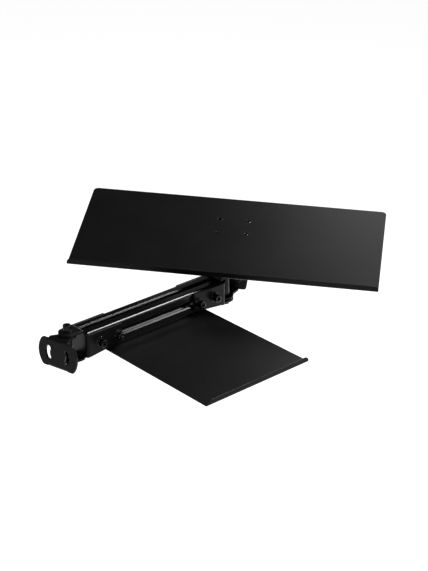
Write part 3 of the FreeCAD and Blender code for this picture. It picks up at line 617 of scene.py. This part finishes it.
def fastener_tree():
    """Sets one turned piece on every point, its Z along the point's axis."""
    tree = bpy.data.node_groups.new("fasteners_on_places", "GeometryNodeTree")
    face = tree.interface
    face.new_socket("Places", in_out="INPUT", socket_type="NodeSocketGeometry")
    face.new_socket("Fastener", in_out="INPUT", socket_type="NodeSocketObject")
    face.new_socket("Turn Seed", in_out="INPUT", socket_type="NodeSocketInt")
    face.new_socket("Finish", in_out="INPUT", socket_type="NodeSocketMaterial")
    face.new_socket("Fasteners", in_out="OUTPUT", socket_type="NodeSocketGeometry")
    start = add_node(tree, "NodeGroupInput")
    points = add_node(tree, "GeometryNodeMeshToPoints", None, {"Mesh": start.outputs["Places"]})
    piece = add_node(tree, "GeometryNodeObjectInfo", {"transform_space": "ORIGINAL"},
                     {"Object": start.outputs["Fastener"]})
    axis = add_node(tree, "GeometryNodeInputNamedAttribute", {"data_type": "FLOAT_VECTOR"},
                    {"Name": "axis"})
    aligned = add_node(tree, "FunctionNodeAlignRotationToVector", {"axis": "Z"},
                       {"Vector": axis.outputs["Attribute"]})
    # Each screw stops at its own angle when it is tightened
    spin = add_node(tree, "FunctionNodeRandomValue", {"data_type": "FLOAT"},
                    {"Seed": start.outputs["Turn Seed"], SPIN_LEAST: 0.0, SPIN_MOST: math.pi / 3})
    about = add_node(tree, "FunctionNodeAxisAngleToRotation", None,
                     {"Axis": (0, 0, 1), "Angle": spin.outputs[SPIN_OUT]})
    turned = add_node(tree, "FunctionNodeRotateRotation", {"rotation_space": "LOCAL"},
                      {"Rotation": aligned.outputs["Rotation"], "Rotate By": about.outputs["Rotation"]})
    placed = add_node(tree, "GeometryNodeInstanceOnPoints", None,
                      {"Points": points.outputs["Points"], "Instance": piece.outputs["Geometry"],
                       "Rotation": turned.outputs["Rotation"]})
    real = add_node(tree, "GeometryNodeRealizeInstances", None, {"Geometry": placed.outputs["Instances"]})
    finish = add_node(tree, "GeometryNodeSetMaterial", None,
                      {"Geometry": real.outputs["Geometry"], "Material": start.outputs["Finish"]})
    add_node(tree, "NodeGroupOutput", None, {"Fasteners": finish.outputs["Geometry"]})
    return tree


FASTENERS = fastener_tree()
FASTENER_INPUTS = {item.name: item.identifier for item in FASTENERS.interface.items_tree
                   if item.in_out == "INPUT"}


def set_fasteners(name, body, kind, seats, finish, seed, nodes):
    """Fasteners of one kind on one body, made a plain mesh; seats are frames whose Z is the axis."""
    places = bpy.data.meshes.new(name + "_places")
    places.from_pydata([tuple(seat.translation) for seat in seats], [], [])
    axis = places.attributes.new("axis", "FLOAT_VECTOR", "POINT")
    for i, seat in enumerate(seats):
        axis.data[i].vector = seat.to_3x3() @ Vector((0, 0, 1))
    carrier = bpy.data.objects.new(name + "_carrier", places)
    bpy.context.scene.collection.objects.link(carrier)
    modifier = carrier.modifiers.new("fasteners", "NODES")
    modifier.node_group = FASTENERS
    modifier[FASTENER_INPUTS["Fastener"]] = kind
    modifier[FASTENER_INPUTS["Turn Seed"]] = seed
    modifier[FASTENER_INPUTS["Finish"]] = finish
    bpy.context.view_layer.update()
    evaluated = carrier.evaluated_get(bpy.context.evaluated_depsgraph_get())
    mesh = bpy.data.meshes.new_from_object(evaluated)
    mesh.name = name
    bpy.data.objects.remove(carrier)
    piece = bpy.data.objects.new(name, mesh)
    bpy.context.scene.collection.objects.link(piece)
    for polygon in mesh.polygons:
        polygon.use_smooth = True
    mesh.set_sharp_from_angle(angle=math.radians(SMOOTH_BELOW))
    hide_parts(*nodes)
    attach(piece, body)


# Seats of the fasteners, as frames whose Z points away from what they press on

def side_seats(pivot):
    """Frames on both cheeks' outer faces, Z outwards, for the end of the profile at this pivot."""
    end = pivot @ shift(0, 0, STACK)
    seats = []
    for side in (-1, 1):
        for x in (WEB_OFFSET + SIDE_BOLT_FIRST, WEB_OFFSET + CHEEK_LENGTH - SIDE_BOLT_LAST):
            seats.append(end @ shift(x, side * CHEEK_OUT, PROFILE_Z - STACK) @ turn("X", -90 * side))
    return seats


def up(frames, z):
    return [f @ shift(0, 0, z) for f in frames]


HEAD_STACK = WASHER_T + SPRING_T
RIG_PIVOT_TOP = [RIG_FRAME @ shift(0, 0, STACK + EAR_TOP)]
TRAY_PIVOT_TOP = [FAR_FRAME @ shift(0, 0, 2 * STACK + EAR_TOP)]
RIG_PIVOT_UNDER = [RIG_FRAME @ shift(0, 0, -EAR_TOP) @ turn("X", 180)]
TRAY_PIVOT_UNDER = [FAR_FRAME @ shift(0, 0, STACK - EAR_TOP) @ turn("X", 180)]
RIG_SIDE_SEATS = side_seats(ARM_FRAME)
TRAY_SIDE_SEATS = side_seats(FAR_FRAME @ turn("Z", 180))
CLAMP_FRONT = [ROLL_FRAME @ shift(-PLATE_T - FIT, side * SLOT_R, 0) @ turn("Y", -90) for side in (-1, 1)]
CLAMP_BACK = [ROLL_FRAME @ shift(MOUNT_T, side * SLOT_R, 0) @ turn("Y", 90) for side in (-1, 1)]
LEG_START = (MOUNT_T / 2 - TRAY_SET_BACK) / math.cos(math.radians(TRAY_TILT))
TRAY_SCREW_SEATS = [TRAY_FRAME @ shift(LEG_START + x, side * TRAY_SCREW_Y, 0)
                    for x in TRAY_SCREW_X for side in (-1, 1)]
UNDER_TRAY_MOUNT = -TRAY_T - MOUNT_T - TRAY_WASHER_T
MOUSE_MIDDLE = WEB_OFFSET + MOUSE_START + MOUSE_W / 2
MOUSE_UNDER = PROFILE_TOP - PROFILE_W - TRAY_T
MOUSE_SEATS = [ARM_FRAME @ shift(MOUSE_MIDDLE + step, 0, MOUSE_UNDER) @ turn("X", 180)
               for step in (-MOUSE_SCREW_PITCH / 2, MOUSE_SCREW_PITCH / 2)]

kinds = {
    "pivot_screw": socket_head_screw(PIVOT_SCREW_L, PIVOT_THREAD_L),
    "side_screw": socket_head_screw(SIDE_SCREW_L, SIDE_SCREW_L - THREAD_RUNOUT),
    "clamp_screw": socket_head_screw(CLAMP_SCREW_L, CLAMP_SCREW_L - THREAD_RUNOUT),
    "button_screw": button_head_screw(FLOOR_SCREW_L),
    "tray_screw": countersunk_screw(),
    "flat_washer": flat_washer_mesh(WASHER_D / 2, SCREW_D / 2 + HOLE_PLAY, WASHER_T),
    "small_washer": flat_washer_mesh(TRAY_WASHER_D / 2, TRAY_SCREW_D / 2 + HOLE_PLAY / 2, TRAY_WASHER_T),
    "spring_washer": spring_washer_mesh(),
    "nut": hex_nut_mesh(NUT_AF, NUT_H, SCREW_D / 2 + NUT_THREAD_PLAY, SCREW_PITCH),
    "small_nut": hex_nut_mesh(TRAY_NUT_AF, TRAY_NUT_H, TRAY_SCREW_D / 2 + NUT_THREAD_PLAY,
                              TRAY_SCREW_PITCH),
}
kinds = {name: as_object("kind_" + name, mesh) for name, mesh in kinds.items()}

# Name, body, kind, seats and the nodes that it replaces; the order gives each row's seed
FASTENER_ROWS = [
    ("rig_pivot_bolt", "rig_side", "pivot_screw", up(RIG_PIVOT_TOP, FIT + HEAD_STACK),
     ["rig_pivot_screw"]),
    ("tray_pivot_bolt", "arm", "pivot_screw", up(TRAY_PIVOT_TOP, FIT + HEAD_STACK),
     ["tray_pivot_screw"]),
    ("rig_pivot_flat_washer", "rig_side", "flat_washer", up(RIG_PIVOT_TOP, FIT), ["rig_pivot_washers"]),
    ("rig_pivot_spring_washer", "rig_side", "spring_washer", up(RIG_PIVOT_TOP, FIT + WASHER_T), []),
    ("tray_pivot_flat_washer", "arm", "flat_washer", up(TRAY_PIVOT_TOP, FIT), ["tray_pivot_washers"]),
    ("tray_pivot_spring_washer", "arm", "spring_washer", up(TRAY_PIVOT_TOP, FIT + WASHER_T), []),
    ("rig_pivot_lock_nut", "rig_side", "nut", RIG_PIVOT_UNDER, ["rig_pivot_nut"]),
    ("tray_pivot_lock_nut", "arm", "nut", TRAY_PIVOT_UNDER, ["tray_pivot_nut"]),
    ("cheek_bolts_rig_end", "arm", "side_screw", up(RIG_SIDE_SEATS, HEAD_STACK),
     ["side_screws_rig_end"]),
    ("cheek_bolts_tray_end", "arm", "side_screw", up(TRAY_SIDE_SEATS, HEAD_STACK),
     ["side_screws_tray_end"]),
    ("cheek_washers_rig_end", "arm", "flat_washer", RIG_SIDE_SEATS, ["side_washers_rig_end"]),
    ("cheek_washers_tray_end", "arm", "flat_washer", TRAY_SIDE_SEATS, ["side_washers_tray_end"]),
    ("cheek_springs_rig_end", "arm", "spring_washer", up(RIG_SIDE_SEATS, WASHER_T),
     ["spring_washers_rig_end"]),
    ("cheek_springs_tray_end", "arm", "spring_washer", up(TRAY_SIDE_SEATS, WASHER_T),
     ["spring_washers_tray_end"]),
    ("clamp_bolts", "keyboard_platform", "clamp_screw", up(CLAMP_FRONT, WASHER_T),
     ["tilt_clamp_screws"]),
    ("clamp_washers", "keyboard_platform", "flat_washer", CLAMP_FRONT + CLAMP_BACK,
     ["tilt_clamp_washers"]),
    ("clamp_nuts", "keyboard_platform", "nut", up(CLAMP_BACK, WASHER_T), ["tilt_clamp_nuts"]),
    ("flush_tray_screws", "keyboard_platform", "tray_screw", TRAY_SCREW_SEATS, ["tray_screws"]),
    ("under_tray_washers", "keyboard_platform", "small_washer", up(TRAY_SCREW_SEATS, UNDER_TRAY_MOUNT),
     ["tray_screw_washers"]),
    ("under_tray_nuts", "keyboard_platform", "small_nut",
     up(TRAY_SCREW_SEATS, UNDER_TRAY_MOUNT - TRAY_NUT_H), ["tray_screw_nuts"]),
    ("mouse_tray_button_screws", "mouse_platform", "button_screw", up(MOUSE_SEATS, WASHER_T),
     ["mouse_tray_screws"]),
    ("mouse_tray_flat_washers", "mouse_platform", "flat_washer", MOUSE_SEATS, ["mouse_tray_washers"]),
]
for seed, (name, body, kind, seats, nodes) in enumerate(FASTENER_ROWS, start=FIRST_SEED):
    set_fasteners(name, body, kinds[kind], seats, SCREW_STEEL, seed, nodes)
for piece in kinds.values():
    bpy.data.objects.remove(piece)


# Studio: pale floor well below the arm, soft lamps, a pale backdrop and a dim ceiling

FLOOR_Z = -0.62
FLOOR_R = 30.0
FLOOR_SIDES = 96
# What the camera sees of the floor glows. The glow grows along a level direction, between two
# distances from the origin, and also outwards on all sides, between two others.
GLOW_DIRECTION = (0.816, 0.578, 0.0)
GLOW_ALONG = {"From Min": -0.1, "From Max": 0.3}
GLOW_OUTWARDS = {"From Min": 2.0, "From Max": 3.5}
FLOOR_GLOW_FRONT = 0.25
FLOOR_GLOW_FAR = 0.95
# Sine of the angle above the horizon where the backdrop starts and stops turning into the ceiling
BACKDROP_TOP = {"From Min": 0.06, "From Max": 0.18}
CEILING = 0.02

# Name, place, aim, size and power. Of the two lamps on the right that stand further forward, the
# lower one shows in the grooves' slopes and the higher one along the rounded edges. Neither shows
# in the corner between the profile's side and the mouse tray.
LAMPS = [
    ("overhead_softbox", (0.1, 0.0, 1.9), (0.2, 0.0, 0.0), (1.0, 1.0), 3.0),
    ("right_softbox", (1.02, -1.44, 1.26), (0.2, -0.04, 0.0), (0.6, 0.36), 10.0),
    ("right_top_softbox", (1.15, -0.70, 1.63), (0.2, -0.04, 0.0), (0.6, 0.5), 34.0),
    ("right_back_softbox", (1.62, 0.06, 0.98), (0.3, -0.1, 0.0), (0.85, 0.7), 5.4),
    ("left_softbox", (-1.25, 0.90, 1.25), (0.1, 0.0, 0.0), (0.4, 0.4), 2.0),
    ("front_softbox", (-1.35, -1.45, 1.60), (0.1, 0.0, 0.0), (0.3, 0.3), 7.0),
    ("front_left_fill", (-2.2, -0.8, 0.30), (0.2, 0.0, 0.0), (0.8, 0.5), 6.0),
]


def background_rays(tree):
    """1 for what the camera sees, also by reflection or through glass."""
    path = add_node(tree, "ShaderNodeLightPath")
    largest = path.outputs["Is Camera Ray"]
    for name in ("Is Glossy Ray", "Is Transmission Ray"):
        either = add_node(tree, "ShaderNodeMath", {"operation": "MAXIMUM"},
                          {0: largest, 1: path.outputs[name]})
        largest = either.outputs[0]
    return largest


def studio_floor():
    mesh = bmesh.new()
    bmesh.ops.create_circle(mesh, cap_ends=True, segments=FLOOR_SIDES, radius=FLOOR_R)
    floor = as_object("studio_floor", mesh)
    floor.data.transform(Matrix.Translation((0, 0, FLOOR_Z)))
    # White paper: it keeps a soft shadow under the arm and is plain white further out
    material = bpy.data.materials.new("white_paper")
    material.use_nodes = True
    tree = material.node_tree
    tree.nodes.clear()
    paper = add_node(tree, "ShaderNodeBsdfDiffuse", None, {"Color": linear("#b8b8b8")})
    place = add_node(tree, "ShaderNodeTexCoord").outputs["Object"]
    # Painted glow, weaker in front of the arm so that the arm and the trays reflect a darker floor there,
    # and white again far out
    across = add_node(tree, "ShaderNodeVectorMath", {"operation": "DOT_PRODUCT"},
                      {0: place, 1: GLOW_DIRECTION})
    behind = add_node(tree, "ShaderNodeMapRange", CLAMPED,
                      {"Value": across.outputs["Value"], **GLOW_ALONG, "To Min": 0.0, "To Max": 1.0})
    far = add_node(tree, "ShaderNodeVectorMath", {"operation": "LENGTH"}, {"Vector": place})
    outside = add_node(tree, "ShaderNodeMapRange", CLAMPED,
                       {"Value": far.outputs["Value"], **GLOW_OUTWARDS, "To Min": 0.0, "To Max": 1.0})
    larger = add_node(tree, "ShaderNodeMath", {"operation": "MAXIMUM"},
                      {0: behind.outputs["Result"], 1: outside.outputs["Result"]})
    rise = add_node(tree, "ShaderNodeMapRange", CLAMPED,
                    {"Value": larger.outputs[0], "From Min": 0.0, "From Max": 1.0,
                     "To Min": FLOOR_GLOW_FRONT, "To Max": FLOOR_GLOW_FAR})
    seen = add_node(tree, "ShaderNodeMath", {"operation": "MULTIPLY"},
                    {0: background_rays(tree), 1: rise.outputs["Result"]})
    glow = add_node(tree, "ShaderNodeEmission", None,
                    {"Color": (1, 1, 1, 1), "Strength": seen.outputs[0]})
    both = add_node(tree, "ShaderNodeAddShader", None, {0: paper.outputs[0], 1: glow.outputs[0]})
    add_node(tree, "ShaderNodeOutputMaterial", None, {"Surface": both.outputs[0]})
    floor.data.materials.append(material)


def studio_world():
    """Pale backdrop round the horizon, dim above it."""
    world = bpy.data.worlds.new("studio_world")
    world.use_nodes = True
    tree = world.node_tree
    background = tree.nodes["Background"]
    background.inputs["Color"].default_value = linear("#fbfcff")
    way = add_node(tree, "ShaderNodeTexCoord").outputs["Generated"]
    height = add_node(tree, "ShaderNodeSeparateXYZ", None, {"Vector": way}).outputs["Z"]
    backdrop = add_node(tree, "ShaderNodeMapRange", CLAMPED,
                        {"Value": height, **BACKDROP_TOP, "To Min": 1.0, "To Max": 0.0})
    white = add_node(tree, "ShaderNodeMath", {"operation": "MULTIPLY"},
                     {0: background_rays(tree), 1: backdrop.outputs["Result"]})
    level = add_node(tree, "ShaderNodeMapRange", CLAMPED,
                     {"Value": white.outputs[0], "From Min": 0.0, "From Max": 1.0,
                      "To Min": CEILING, "To Max": 1.0})
    tree.links.new(level.outputs["Result"], background.inputs["Strength"])
    bpy.context.scene.world = world


def softbox(name, place, aim, size, power):
    data = bpy.data.lights.new(name, "AREA")
    data.shape = "RECTANGLE"
    data.size = size[0]
    data.size_y = size[1]
    data.energy = power
    lamp = bpy.data.objects.new(name, data)
    bpy.context.scene.collection.objects.link(lamp)
    lamp.location = place
    lamp.rotation_euler = (Vector(aim) - Vector(place)).to_track_quat("-Z", "Y").to_euler()


studio_floor()
studio_world()
for lamp in LAMPS:
    softbox(*lamp)

bpy.context.scene.view_settings.view_transform = "Standard"
